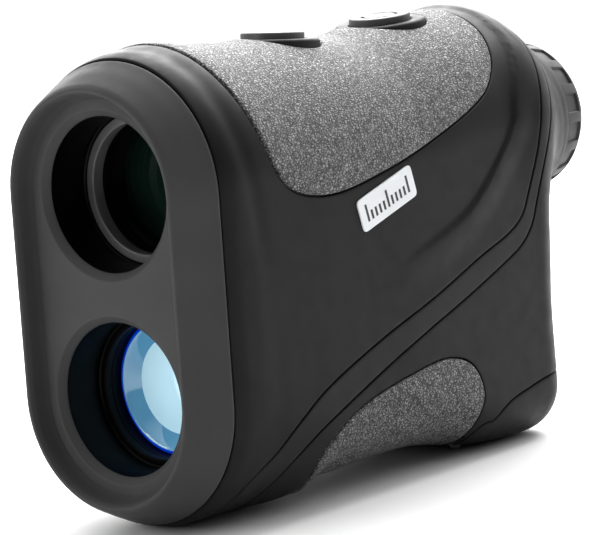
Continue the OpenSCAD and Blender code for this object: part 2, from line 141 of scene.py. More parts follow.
CREASE = [
    [38, 33], [44.6, 34.9], [56.7, 39.1], [70.4, 43.8], [79.8, 51.1], [85, 57.1], [86.5, 61.1],
    [88.2, 64.4], [90.7, 68.4], [92.4, 73], [93.4, 78], [95, 84],
]
PIN_Y, PIN_Z = middle("hinge_pin")[1] - FRONT, middle("hinge_pin")[2]
KNUCKLE = 2.7

COLLAR_R = 8.0
BUTTON_R = 5.4
CAP_RISE = 1.15
# each button: [y, z of its cap's top, tilt in degrees]
MODE = [47.0, 76.8, -3.5]
FIRE = [76.0, 77.2, 5.0]


# ---- the body's form, as a signed distance ----

def smooth(table, at):
    """The smooth curve through the table's rows at each value of its first column."""
    t = np.asarray(table, float)
    x, v = t[:, 0], t[:, 1:]
    slope = np.gradient(v, x, axis=0)
    at = np.clip(at, x[0], x[-1])
    i = np.clip(np.searchsorted(x, at, side="right") - 1, 0, len(x) - 2)
    h = (x[i + 1] - x[i])[:, None]
    u = (at - x[i])[:, None] / h
    return (
        (2 * u**3 - 3 * u**2 + 1) * v[i]
        + (u**3 - 2 * u**2 + u) * h * slope[i]
        + (3 * u**2 - 2 * u**3) * v[i + 1]
        + (u**3 - u**2) * h * slope[i + 1]
    )


def ease(t):
    """A soft step from 0 to 1."""
    t = np.clip(t, 0, 1)
    return t * t * (3 - 2 * t)


def curve(points, n=6):
    """A dense smooth line through the points."""
    p = np.asarray(points, float)
    last = len(p) - 1
    out = []
    for i in range(last):
        a, b, c, d = (p[max(0, min(last, i + k))] for k in (-1, 0, 1, 2))
        for t in np.arange(n) / n:
            out.append(0.5 * (2 * b + (c - a) * t + (2 * a - 5 * b + 4 * c - d) * t**2
                              + (3 * b - a - 3 * c + d) * t**3))
    out.append(p[-1])
    return np.array(out)


def from_line(p, line):
    """Distance in the side view from each point to the line, positive on its right."""
    q = p[:, 1:3]
    best = np.full(len(q), 1e9)
    side = np.ones(len(q))
    for a, b in zip(line[:-1], line[1:]):
        ab = b - a
        t = np.clip((q - a) @ ab / (ab @ ab), 0, 1)
        away = q - a - t[:, None] * ab
        d = np.hypot(away[:, 0], away[:, 1])
        near = d < best
        best[near] = d[near]
        turn = ab[0] * away[:, 1] - ab[1] * away[:, 0]
        side[near] = np.where(turn[near] > 0, -1, 1)
    return best * side


def inside(p, outline):
    """Distance in the side view to the closed outline, positive inside it."""
    q = p[:, 1:3]
    ring = np.vstack([outline, outline[:1]])
    within = np.zeros(len(q), bool)
    for a, b in zip(ring[:-1], ring[1:]):
        if a[1] == b[1]:
            continue
        crosses = (a[1] > q[:, 1]) != (b[1] > q[:, 1])
        at = a[0] + (q[:, 1] - a[1]) / (b[1] - a[1]) * (b[0] - a[0])
        within ^= crosses & (q[:, 0] < at)
    return np.where(within, 1, -1) * np.abs(from_line(p, ring))


def from_button(p, button):
    """Distance from a button's tilted axis, large below the upper axis."""
    y, z, tilt = button
    a = math.radians(tilt)
    axis = np.array([0, -math.sin(a), math.cos(a)])
    q = p - np.array([0, y, z])
    radial = np.linalg.norm(q - (q @ axis)[:, None] * axis, axis=1)
    return np.where(p[:, 2] > UP_Z, radial, 99.0)


CREASE_LINE = curve(CREASE)


def relief(p):
    """How far the skin stands out from the plain form: fold, button ramp, lip valley and heel."""
    y, z = p[:, 1], p[:, 2]
    valley_y = 12.6 + 3.2 * ease((70 - z) / 26)
    valley = 0.26 * np.exp(-((y - valley_y) / 1.7) ** 2) * ease((z - 36) / 22)
    side = from_line(p, CREASE_LINE)
    fold = 0.36 * ease(side / 0.7 + 0.5) * (1 - ease((side - 1.2) / 5)) * ease((y - 46) / 24)
    ramp = 0.3 * (1 - ease((from_button(p, MODE) - COLLAR_R) / 4.5))
    heel = 1.0 * ease((y - 31.6) / 1.2) * (1 - ease((y - 34) / 10)) * ease((12 - z) / 9)
    return fold + ramp - valley - heel


def plain_form(p):
    """The signed distance to the body with its eyepiece boss, before the relief."""
    x, y, z = np.abs(p[:, 0]), p[:, 1], p[:, 2]
    half, rise, floor, corner = smooth(BODY, y).T
    centre = UP_Z + rise - half
    above = np.hypot(x, z - centre) - half
    qx, qz = x - half + corner, floor + corner - z
    round_out = np.hypot(np.maximum(qx, 0), np.maximum(qz, 0))
    below = round_out + np.minimum(np.maximum(qx, qz), 0) - corner
    section = np.where(z > centre, above, below)
    wall = y - smooth(REAR_WALL, z)[:, 0]
    u, v = np.maximum(section + REAR_CORNER, 0), np.maximum(wall + REAR_CORNER, 0)
    body = np.minimum(-REAR_CORNER, np.maximum(section, wall)) + np.hypot(u, v)
    radius, lift = smooth(BOSS, y).T
    boss = np.hypot(x, z - UP_Z - lift) - radius
    h = np.clip(0.5 + 0.5 * (boss - body) / BOSS_BLEND, 0, 1)
    return boss * (1 - h) + body * h - BOSS_BLEND * h * (1 - h)


def form(p):
    return plain_form(p) - relief(p)


def gradient(field, p, e=0.04):
    g = np.zeros_like(p)
    for k in range(3):
        d = np.zeros(3)
        d[k] = e
        g[:, k] = (field(p + d) - field(p - d)) / (2 * e)
    return g


def settled(p, rounds=2):
    """The points moved onto the form's surface."""
    for _ in range(rounds):
        g = gradient(form, p)
        p = p - form(p)[:, None] * g / np.maximum((g * g).sum(1), 0.2)[:, None]
    return p


def unit(v):
    return v / np.maximum(np.linalg.norm(v, axis=1), 1e-9)[:, None]


def surface_net(field, low, high, step):
    """Quads around the field's zero surface."""
    axes = [np.arange(a, b + step, step) for a, b in zip(low, high)]
    grid = np.stack(np.meshgrid(*axes, indexing="ij"), -1)
    v = field(grid.reshape(-1, 3)).reshape(grid.shape[:3])
    cells = tuple(n - 1 for n in v.shape)
    total, count = np.zeros(cells + (3,)), np.zeros(cells)
    for axis in range(3):
        others = [k for k in range(3) if k != axis]
        for du in (0, 1):
            for dv in (0, 1):
                at = [0, 0, 0]
                at[others[0]], at[others[1]] = du, dv
                a = v[tuple(slice(o, o + n) for o, n in zip(at, cells))]
                to = list(at)
                to[axis] = 1
                b = v[tuple(slice(o, o + n) for o, n in zip(to, cells))]
                cut = (a < 0) != (b < 0)
                t = np.where(cut, a / np.where(a == b, 1, a - b), 0)
                for k in range(3):
                    total[..., k] += cut * (t if k == axis else at[k])
                count += cut
    full = count > 0
    number = np.full(cells, -1)
    number[full] = np.arange(full.sum())
    where = np.argwhere(full)
    points = np.array(low) + step * (where + total[full] / count[full][:, None])
    quads = []
    for axis in range(3):
        u, w = [k for k in range(3) if k != axis]
        inner = [slice(1, n) for n in cells]
        inner[axis] = slice(0, cells[axis])
        a = v[tuple(inner)]
        shifted = list(inner)
        shifted[axis] = slice(1, cells[axis] + 1)
        cut = np.argwhere((a < 0) != (v[tuple(shifted)] < 0))
        cut[:, u] += 1
        cut[:, w] += 1
        ring = []
        for du, dw in ((1, 1), (0, 1), (0, 0), (1, 0)):
            c = cut.copy()
            c[:, u] -= du
            c[:, w] -= dw
            ring.append(number[tuple(c.T)])
        quads.append(np.stack(ring, 1))
    quads = np.concatenate(quads)
    return points, quads[(quads >= 0).all(1)]


def whole_surface():
    """The body's whole surface as triangles that face outwards."""
    low, high = (-23.2, 5.2, -2.4), (23.2, BOSS_END + 2.2, 80)
    points, quads = surface_net(plain_form, low, high, STEP)
    points = settled(points, 4)
    tris = np.concatenate([quads[:, [0, 1, 2]], quads[:, [0, 2, 3]]])
    a, b, c = (points[tris[:, k]] for k in range(3))
    face = np.cross(b - a, c - a)
    outward = gradient(form, (a + b + c) / 3)
    flip = (face * outward).sum(1) < 0
    tris[flip] = tris[flip][:, ::-1]
    return points, tris


def finer(surface, near):
    """The surface, with the triangles round its near points cut in four."""
    p, t = surface
    made, middles, faces = [], {}, []

    def half(a, b):
        key = (min(a, b), max(a, b))
        if key not in middles:
            middles[key] = len(p) + len(made)
            made.append((p[a] + p[b]) / 2)
        return middles[key]

    touched = near[t].any(1)
    for a, b, c in t[touched]:
        if near[[a, b, c]].sum() == 1:
            while not near[a]:
                a, b, c = b, c, a
            ab, ca = half(a, b), half(c, a)
            faces += [(a, ab, ca), (ab, b, c), (ab, c, ca)]
        else:
            ab, bc, ca = half(a, b), half(b, c), half(c, a)
            faces += [(a, ab, ca), (ab, b, bc), (ca, bc, c), (ab, bc, ca)]
    return np.vstack([p, settled(np.array(made))]), np.vstack([t[~touched], np.array(faces)])


# ---- pieces cut from the surface ----

def to_edge(region, p):
    """Along the surface: the distance to the region's edge, the way out of it, and the normal."""
    n = unit(gradient(form, p))
    g = gradient(region, p)
    g -= (g * n).sum(1)[:, None] * n
    size = np.clip(np.linalg.norm(g, axis=1), 0.25, None)
    return region(p) / size, -g / size[:, None], n


def trimmed(surface, region, margin):
    """The part of the surface that lies at least margin inside the region."""
    p, t = surface
    d, out, _ = to_edge(region, p)
    value = d - margin
    near = np.abs(value) < SNAP
    p = p.copy()
    p[near] = settled(p[near] + out[near] * value[near, None])
    value[near] = 0
    sign = np.sign(value[t])
    whole = t[(sign >= 0).all(1) & (sign > 0).any(1)]
    mixed = t[(sign < 0).any(1) & (sign > 0).any(1)]
    made, keys, faces = [], {}, []

    def cut(a, b):
        key = (min(a, b), max(a, b))
        if key not in keys:
            s = value[a] / (value[a] - value[b])
            keys[key] = len(p) + len(made)
            made.append(p[a] + s * (p[b] - p[a]))
        return keys[key]

    for tri in mixed:
        line = []
        for k in range(3):
            a, b = tri[k], tri[(k + 1) % 3]
            if value[a] >= 0:
                line.append(a)
            if value[a] * value[b] < 0:
                line.append(cut(a, b))
        for k in range(1, len(line) - 1):
            faces.append((line[0], line[k], line[k + 1]))
    if made:
        new = np.array(made)
        for _ in range(2):
            d, out, _ = to_edge(region, new)
            new = settled(new + out * np.clip(d - margin, -STEP, STEP)[:, None], 1)
        p = np.vstack([p, new])
    t = np.vstack([whole, np.array(faces, int).reshape(-1, 3)])
    t = t[(t[:, 0] != t[:, 1]) & (t[:, 1] != t[:, 2]) & (t[:, 0] != t[:, 2])]
    used = np.unique(t)
    order = np.full(len(p), -1)
    order[used] = np.arange(len(used))
    return p[used], order[t]


def rim_edges(t):
    """The edges that only one triangle uses."""
    edges = np.vstack([t[:, [0, 1]], t[:, [1, 2]], t[:, [2, 0]]])
    code = edges[:, 0] * 10**7 + edges[:, 1]
    back = edges[:, 1] * 10**7 + edges[:, 0]
    return edges[~np.isin(code, back)]


# the angles of the loops that roll a rim over its edge
ROLL = np.radians([22, 45, 68, 90])


def shell(surface, region, edge=0.3, depth=2.0, lift=0.0, sunk=0.0):
    """A closed slab: the trimmed surface with rolled rims, walls and an inner face."""
    p, t = trimmed(surface, region, GAP + edge)
    _, out, n = to_edge(region, p)
    out = unit(out)
    rims = rim_edges(t)
    rim = np.unique(rims)
    place = np.full(len(p), -1)
    place[rim] = np.arange(len(rim))
    a, b = place[rims[:, 0]], place[rims[:, 1]]
    top = p + n * (lift - sunk)
    loops = []
    for w in ROLL:
        loops.append(top[rim] + edge * (out[rim] * math.sin(w) - n[rim] * (1 - math.cos(w))))
    loops.append(p[rim] + out[rim] * edge - n[rim] * depth)
    faces = [list(f) for f in t]
    first, start = rim, len(p)
    points = [top] + loops
    for k in range(len(loops)):
        low = start + k * len(rim) + np.arange(len(rim))
        faces += [list(f) for f in np.stack([first[b], first[a], low[a], low[b]], 1)]
        first = low
    base = start + len(loops) * len(rim)
    points.append(p - n * depth)
    faces += [list(f) for f in np.stack([first[b], first[a], base + rim[a], base + rim[b]], 1)]
    faces += [list(f) for f in t[:, ::-1] + base]
    return np.vstack(points), faces


def both(parts):
    """Several closed meshes as one."""
    points, faces = [], []
    for p, f in parts:
        start = sum(len(q) for q in points)
        points.append(p)
        faces += [[i + start for i in g] for g in f]
    return np.vstack(points), faces


# ---- Blender objects ----

def to_row(points):
    """The frame's metres from millimetres behind the front rim."""
    return (np.asarray(points, float) + [0, FRONT, 0]) * MM


def piece(name, mesh, material, body, slot, nodes=(), sharp=32, kinds=None, tidy=False):
    """A visible object that rides on a body, in place of the named CAD nodes."""
    points, faces = mesh
    data = bpy.data.meshes.new(name)
    data.from_pydata(to_row(points).tolist(), [], [[int(i) for i in f] for f in faces])
    obj = bpy.data.objects.new(name, data)
    bpy.context.scene.collection.objects.link(obj)
    for m in material if isinstance(material, list) else [material]:
        data.materials.append(m)
    if kinds is not None:
        data.polygons.foreach_set("material_index", np.array(kinds, np.int32))
    if tidy:
        bm = bmesh.new()
        bm.from_mesh(data)
        bmesh.ops.remove_doubles(bm, verts=bm.verts, dist=0.004 * MM)
        bmesh.ops.dissolve_degenerate(bm, edges=bm.edges, dist=0.002 * MM)
        bmesh.ops.recalc_face_normals(bm, faces=bm.faces)
        bm.to_mesh(data)
        bm.free()
    data.validate()
    data.polygons.foreach_set("use_smooth", [True] * len(data.polygons))
    data.set_sharp_from_angle(angle=math.radians(sharp))
    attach(obj, body)
    if nodes:
        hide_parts(*nodes)
    return obj


def fillet(corners, closed=True, n=5):
    """A line through [r, h, radius] corners, each rounded by its radius."""
    c = np.asarray(corners, float)
    out = []
    for i, (r, h, size) in enumerate(c):
        at = c[i, :2]
        if size == 0 or (not closed and i in (0, len(c) - 1)):
            out.append(at)
            continue
        before, after = c[i - 1, :2], c[(i + 1) % len(c), :2]
        u, v = before - at, after - at
        lu, lv = np.linalg.norm(u), np.linalg.norm(v)
        t = min(size, 0.45 * lu, 0.45 * lv)
        a, b = at + u / lu * t, at + v / lv * t
        for s in np.linspace(0, 1, n):
            out.append((1 - s) ** 2 * a + 2 * s * (1 - s) * at + s * s * b)
    return np.array(out)


def turned(profile, place, count=96, closed=True, change=None):
    """The profile's [r, h] points turned about an axis: the faces run segment by segment."""
    turn = np.arange(count) / count * 2 * math.pi
    rows = []
    for r, h in profile:
        rr, hh = np.full(count, r), np.full(count, h)
        if change is not None:
            rr, hh = change(rr, hh, turn)
        rows.append(place(rr, hh, turn))
    last = len(profile) if closed else len(profile) - 1
    faces = []
    for i in range(last):
        j = (i + 1) % len(profile)
        for k in range(count):
            m = (k + 1) % count
            faces.append([i * count + k, i * count + m, j * count + m, j * count + k])
    return np.vstack(rows), faces


def about_y(z):
    """Places turned points about a line along y at height z."""
    return lambda r, h, a: np.stack([r * np.sin(a), h, z + r * np.cos(a)], 1)


def about_button(button):
    """Places turned points about a button's tilted axis."""
    y, z, tilt = button
    t = math.radians(tilt)

    def place(r, h, a):
        u, w = r * np.cos(a), r * np.sin(a)
        along = y + w * math.cos(t) - h * math.sin(t)
        up = z + w * math.sin(t) + h * math.cos(t)
        return np.stack([u, along, up], 1)

    return place


# ---- materials ----

def tree_of(name, color, roughness, **sockets):
    """A material whose Principled shader has these constants."""
    material = bpy.data.materials.new(name)
    material.use_nodes = True
    tree = material.node_tree
    shader = tree.nodes["Principled BSDF"]
    shader.inputs["Base Color"].default_value = (*color, 1)
    shader.inputs["Roughness"].default_value = roughness
    for key, value in sockets.items():
        shader.inputs[key.replace("_", " ")].default_value = value
    return material, tree, shader


def noise(tree, size, detail=3):
    """A noise texture whose features are size millimetres wide."""
    coords = tree.nodes.get("Texture Coordinate") or tree.nodes.new("ShaderNodeTexCoord")
    node = tree.nodes.new("ShaderNodeTexNoise")
    tree.links.new(coords.outputs["Object"], node.inputs["Vector"])
    node.inputs["Scale"].default_value = 1 / (size * MM)
    node.inputs["Detail"].default_value = detail
    return node


def ranged(tree, value, low, high, to_low, to_high):
    """The value mapped from low..high to to_low..to_high, and held at the ends."""
    node = tree.nodes.new("ShaderNodeMapRange")
    node.inputs["From Min"].default_value = low
    node.inputs["From Max"].default_value = high
    node.inputs["To Min"].default_value = to_low
    node.inputs["To Max"].default_value = to_high
    tree.links.new(value, node.inputs["Value"])
    return node.outputs["Result"]


def tinted(tree, shader, value, low, high, dark, light):
    """The base colour runs from dark to light as value goes from low to high."""
    ramp = tree.nodes.new("ShaderNodeValToRGB")
    ramp.color_ramp.elements[0].position, ramp.color_ramp.elements[1].position = low, high
    ramp.color_ramp.elements[0].color = (*dark, 1)
    ramp.color_ramp.elements[1].color = (*light, 1)
    tree.links.new(value, ramp.inputs["Fac"])
    tree.links.new(ramp.outputs["Color"], shader.inputs["Base Color"])


def bumped(tree, shader, height, strength, distance):
    """Adds a bump of distance millimetres to the shader's normal."""
    bump = tree.nodes.new("ShaderNodeBump")
    bump.inputs["Strength"].default_value = strength
    bump.inputs["Distance"].default_value = distance * MM
    tree.links.new(height, bump.inputs["Height"])
    old = shader.inputs["Normal"].links
    if old:
        tree.links.new(old[0].from_socket, bump.inputs["Normal"])
    tree.links.new(bump.outputs["Normal"], shader.inputs["Normal"])


def moulded(name, dark, light, roughness, grain=0.12, depth=0.008, spread=0.06, **sockets):
    """Moulded plastic: a fine matt grain, faint clouds of tone and uneven gloss."""
    material, tree, shader = tree_of(name, light, roughness, **sockets)
    clouds = noise(tree, 9, 4)
    tinted(tree, shader, clouds.outputs[0], 0.3, 0.7, dark, light)
    fine = noise(tree, grain, 2)
    smears = noise(tree, 3, 5).outputs[0]
    gloss = ranged(tree, smears, 0.3, 0.7, roughness - spread, roughness + spread)
    tree.links.new(gloss, shader.inputs["Roughness"])
    bumped(tree, shader, fine.outputs[0], 0.6, depth)
    return material


def leather(name, dark, light, roughness, size=0.5, depth=0.16):
    """Rubber with a moulded leather grain: winding cells longer than wide, with a painted highlight on
    their crowns and painted shade in the grooves between them.
    """
    material, tree, shader = tree_of(name, light, roughness)
    warp = noise(tree, size * 1.5, 3)
    bend = tree.nodes.new("ShaderNodeVectorMath")
    bend.operation = "MULTIPLY_ADD"
    bend.inputs[1].default_value = (size * 1.7 * MM,) * 3
    tree.links.new(warp.outputs["Color"], bend.inputs[0])
    tree.links.new(tree.nodes["Texture Coordinate"].outputs["Object"], bend.inputs[2])
    stretch = tree.nodes.new("ShaderNodeVectorMath")
    stretch.operation = "MULTIPLY"
    stretch.inputs[1].default_value = (1.2, 0.72, 1.2)
    tree.links.new(bend.outputs[0], stretch.inputs[0])
    cells = tree.nodes.new("ShaderNodeTexVoronoi")
    cells.feature = "DISTANCE_TO_EDGE"
    cells.inputs["Scale"].default_value = 1 / (size * MM)
    tree.links.new(stretch.outputs[0], cells.inputs["Vector"])
    crown = ranged(tree, cells.outputs["Distance"], 0.0, 0.32, 0, 1)
    clouds = noise(tree, 1.2, 4)
    painted_crown_light_and_tone = tree.nodes.new("ShaderNodeMath")
    painted_crown_light_and_tone.operation = "MULTIPLY"
    tree.links.new(crown, painted_crown_light_and_tone.inputs[0])
    tree.links.new(ranged(tree, clouds.outputs[0], 0.3, 0.68, 0.35, 1.1), painted_crown_light_and_tone.inputs[1])
    # painted light: the crowns take the light tone as a painted highlight and the grooves the dark tone
    # as painted shade, varied by random clouds of tone
    tinted(tree, shader, painted_crown_light_and_tone.outputs[0], 0.1, 0.75, dark, light)
    gloss = ranged(tree, crown, 0, 1, roughness + 0.15, roughness - 0.1)
    tree.links.new(gloss, shader.inputs["Roughness"])
    bumped(tree, shader, crown, 1.0, depth)
    bumped(tree, shader, noise(tree, 0.16, 3).outputs[0], 0.5, 0.03)
    return material


def brushed(name, color, roughness):
    """Turned metal, with a fine uneven tone."""
    material, tree, shader = tree_of(name, color, roughness, Metallic=1.0)
    streaks = noise(tree, 0.6, 5)
    dark = tuple(0.75 * c for c in color)
    tinted(tree, shader, streaks.outputs[0], 0.3, 0.7, dark, color)
    bumped(tree, shader, noise(tree, 0.08, 2).outputs[0], 0.3, 0.004)
    return material


def coated(name, dark, light, painted_glow=0.0, **sockets):
    """Coated glass: a tinted dark body with a glossy coat, a little uneven; a painted glow, if given,
    is emission in the light tone that stands in for a reflection of bright surroundings.
    """
    coat = {"Coat_Weight": 1.0, "Coat_Roughness": 0.02}
    material, tree, shader = tree_of(name, light, 0.04, **coat, **sockets)
    tinted(tree, shader, noise(tree, 14, 2).outputs[0], 0.35, 0.65, dark, light)
    # painted reflection: the glass glows in its light tone though it is no lamp
    if painted_glow:
        shader.inputs["Emission Color"].default_value = (*light, 1)
        shader.inputs["Emission Strength"].default_value = painted_glow
    return material


def grey(v, warm=0.0):
    """A grey of this value, a little warm if asked."""
    return (v * (1 + warm), v, v * (1 - warm))


# [slot, dark tone, light tone, roughness, grain size, grain depth], sizes in millimetres
MATT_MOULDED = [
    ["bezel_plastic", grey(0.042), grey(0.048), 0.5, 0.14, 0.01],
    ["body_plastic", grey(0.006), grey(0.007), 0.46, 0.12, 0.007],
    ["trim_plastic", grey(0.010), grey(0.011), 0.46, 0.12, 0.007],
    ["collar_plastic", grey(0.014), grey(0.018), 0.5, 0.12, 0.008],
]
MOULDED = [
    ["button_rubber", grey(0.05), grey(0.06), 0.5, 0.16, 0.01],
    ["ring_rubber", grey(0.021, 0.03), grey(0.027, 0.03), 0.6, 0.2, 0.012],
    ["eyecup_rubber", grey(0.018), grey(0.024), 0.6, 0.2, 0.012],
    ["seal_rubber", grey(0.006), grey(0.01), 0.7, 0.2, 0.01],
    ["retainer_grey", grey(0.09), grey(0.11), 0.38, 0.1, 0.004],
    ["black_plastic", grey(0.012), grey(0.018), 0.5, 0.15, 0.008],
    ["board_green", (0.01, 0.08, 0.035), (0.015, 0.12, 0.05), 0.4, 0.4, 0.01],
    ["chip_black", grey(0.01), grey(0.018), 0.45, 0.1, 0.006],
    ["plunger_white", grey(0.6), grey(0.7), 0.45, 0.15, 0.006],
    ["cell_wrap", (0.35, 0.2, 0.03), (0.5, 0.3, 0.05), 0.3, 0.5, 0.004],
    ["label_silver", (0.70, 0.72, 0.74), (0.78, 0.80, 0.82), 0.4, 0.3, 0.003],
]
COATED = [
    ["lens_green", (0.002, 0.006, 0.005), (0.004, 0.014, 0.010)],
    ["lens_blue", (0.04, 0.12, 0.5), (0.06, 0.16, 0.6)],
    ["lens_clear", (0.015, 0.02, 0.03), (0.03, 0.045, 0.07)],
    ["filter_glass", (0.05, 0.008, 0.012), (0.09, 0.012, 0.02)],
]
METAL = [
    ["screw_steel", (0.55, 0.56, 0.58), 0.3],
    ["contact_brass", (0.75, 0.6, 0.28), 0.32],
]
MATT_GLOSS = {"Specular_IOR_Level": 0.11}
BORE_GLOSS = {"Specular_IOR_Level": 0.06}


def make_materials():
    """One procedural material for each slot of the record."""
    made = {row[0]: moulded(*row, **MATT_GLOSS) for row in MATT_MOULDED}
    made.update({row[0]: moulded(*row) for row in MOULDED})
    made.update({row[0]: coated(*row) for row in COATED})
    made.update({row[0]: brushed(*row) for row in METAL})
    # the grip's near-black is painted shade in the grain's grooves, and its light grey is a painted
    # highlight on the crowns
    made["grip_rubber"] = leather("grip_rubber", grey(0.005), grey(0.24), 0.5)
    made["barrel_black"] = moulded("barrel_black", grey(0.001), grey(0.0015), 0.42, 0.1, 0.001, 0.03,
                                   **BORE_GLOSS)
    return made


MATERIALS = make_materials()


def paint_cad_nodes():
    """Every node kept from the CAD gets its slot's procedural material."""
    for part in frame["record"]["subparts"]:
        obj = frame["nodes"][part["node"]]
        obj.data.materials.clear()
        obj.data.materials.append(MATERIALS[part["material_slot"]])
        for face in obj.data.polygons:
            face.material_index = 0


# ---- the housing's skins ----

def build_skins():
    """The two shells, the trim band, the two grips and the battery door."""
    surface = whole_surface()
    above = np.vstack([curve(SEAM_A), [[109, 130], [-30, 130], [-30, -14]]])
    below = np.vstack([curve(SEAM_B), [[150, 90], [150, -14]]])
    between = np.vstack([curve(SEAM_A), curve(SEAM_B)[::-1]])
    upper, lower = curve(UPPER_GRIP), curve(LOWER_GRIP)
    turn = np.radians(np.arange(250, 99, -10))
    around = np.stack([PIN_Y + KNUCKLE * np.cos(turn), PIN_Z + KNUCKLE * np.sin(turn)], 1)
    door = np.vstack([around, curve(DOOR_EDGE), [[140, 11.8], [140, -14], [PIN_Y - 1, -14]]])

    def ends(p):
        return np.minimum(p[:, 1] - SEAM_Y, BOSS_END - p[:, 1])

    def hinge_room(p):
        across = np.abs(p[:, 0]) - 12.3
        along = np.abs(p[:, 1] - 75.7) - 3.6
        return np.maximum(np.maximum(across, along), p[:, 2] - 9.3)

    def main(p):
        return np.minimum(np.minimum(inside(p, above), ends(p)), -inside(p, upper))

    def rear(p):
        free = np.minimum(-inside(p, lower), -inside(p, door))
        return np.minimum(np.minimum(inside(p, below), ends(p)), np.minimum(free, hinge_room(p)))

    def band(p):
        return np.minimum(inside(p, between), ends(p))

    def upper_grip(p):
        holes = np.minimum(from_button(p, MODE), from_button(p, FIRE)) - COLLAR_R
        return np.minimum(inside(p, upper), holes)

    def lower_grip(p):
        return inside(p, lower)

    def door_region(p):
        room = np.maximum(np.abs(p[:, 0]) - 12.5, p[:, 1] - 78.2)
        return np.minimum(inside(p, door), room)

    def bed(grip):
        return shell(surface, lambda p: grip(p) + BED_MARGIN, 0.05, 2.0, 0, BED_DEPTH)

    # the band, and the rear shell's narrow strip above the lower grip, need a finer mesh
    points = surface[0]
    by_seam = np.abs(inside(points, below)) < 2
    by_grip = np.abs(inside(points, lower)) < 2
    surface = finer(surface, (band(points) > -1.2) | (by_seam & by_grip))

    make = [
        ("shell_main", [shell(surface, main), bed(upper_grip)], "body_plastic", "main_shell"),
        ("shell_rear", [shell(surface, rear, 0.2), bed(lower_grip)], "body_plastic", "rear_shell"),
        ("band_trim", [shell(surface, band, 0.22)], "trim_plastic", "trim_band"),
        ("grip_upper", [shell(surface, upper_grip, 0.4, 1.0, 0.25)], "grip_rubber", "upper_grip"),
        ("grip_lower", [shell(surface, lower_grip, 0.4, 1.0, 0.2)], "grip_rubber", "lower_grip"),
    ]
    for name, parts, slot, node in make:
        piece(name, both(parts), MATERIALS[slot], "housing", slot, [node])
    piece("door_battery", shell(surface, door_region, 0.3, 1.7), MATERIALS["body_plastic"],
          "battery_door", "body_plastic", ["battery_door"])


# ---- the bezel ----

def race(r, y, steps=40, straight=14):
    """Points round a racetrack of this radius about the two optical axes."""
    out = []
    for a in np.linspace(0, math.pi, steps + 1):
        out.append([r * math.cos(a), y, UP_Z + r * math.sin(a)])
    for s in np.arange(1, straight) / straight:
        out.append([-r, y, UP_Z + (LOW_Z - UP_Z) * s])
    for a in np.linspace(math.pi, 2 * math.pi, steps + 1):
        out.append([r * math.cos(a), y, LOW_Z + r * math.sin(a)])
    for s in np.arange(1, straight) / straight:
        out.append([r, y, LOW_Z + (UP_Z - LOW_Z) * s])
    return np.array(out)


def in_race(c, loop):
    """Whether a point lies inside a racetrack loop."""
    r = loop[:, 0].max()
    return math.hypot(c[0], c[2] - min(max(c[2], LOW_Z), UP_Z)) < r


def flat_face(loops, y, flip):
    """A flat face at y between an outer racetrack and the two round holes inside it."""
    points, edges = [], []
    for loop in loops:
        start, n = len(points), len(loop)
        points += [Vector((p[0], p[2])) for p in loop]
        edges += [(start + i, start + (i + 1) % n) for i in range(n)]
    found = delaunay_2d_cdt(points, edges, [], 0, 1e-5)
    spots = np.array([[v[0], y, v[1]] for v in found[0]])
    hole_r = np.linalg.norm(loops[1][0] - loops[1].mean(0)) - 0.01
    faces = []
    for f in found[2]:
        c = spots[list(f)].mean(0)
        from_axis = min(math.hypot(c[0], c[2] - z) for z in (LOW_Z, UP_Z))
        if from_axis > hole_r and in_race(c, loops[0]):
            faces.append(list(f)[::-1] if flip else list(f))
    return spots, faces


def strip(rows):
    """Quads between successive loops of equal length."""
    n = len(rows[0])
    faces = []
    for i in range(len(rows) - 1):
        for k in range(n):
            m = (k + 1) % n
            faces.append([i * n + k, i * n + m, (i + 1) * n + m, (i + 1) * n + k])
    return np.vstack(rows), faces


RIM_R = 17.4
BORE_Y = RECESS + 1.3
# [r, y, corner rounding] from the recess, over the rim and back to the inner face
BEZEL_SIDE = [
    [15.35, RECESS, 0], [15.75, 2.6, 0.5], [16.3, 0.7, 0.6], [16.75, 0.0, 0.5],
    [RIM_R - 0.1, 0.0, 0.5], [RIM_R + 0.5, 0.7, 0.8], [RIM_R + 1.25, 2.3, 1.0],
    [RIM_R + 2.2, 4.2, 1.0], [RIM_R + 2.95, 5.9, 0.9], [HALF_W - 0.22, SEAM_Y - 0.45, 0.3],
    [HALF_W - 0.3, SEAM_Y - 0.02, 0.15], [HALF_W - 0.8, SEAM_Y, 0.1], [18.4, SEAM_Y, 0],
    [18.4, 14.0, 0.2], [16.8, 14.0, 0.2], [16.8, 5.6, 0],
]
# the same for a port, from its chamfer to the inner face
PORT_SIDE = [
    [14.1, RECESS, 0], [13.7, RECESS + 0.02, 0.4], [12.7, RECESS + 1.0, 0.3],
    [PORT_R, BORE_Y, 0.3], [PORT_R, 11.8, 0.1], [14.0, 11.8, 0.1], [14.0, 5.6, 0],
]


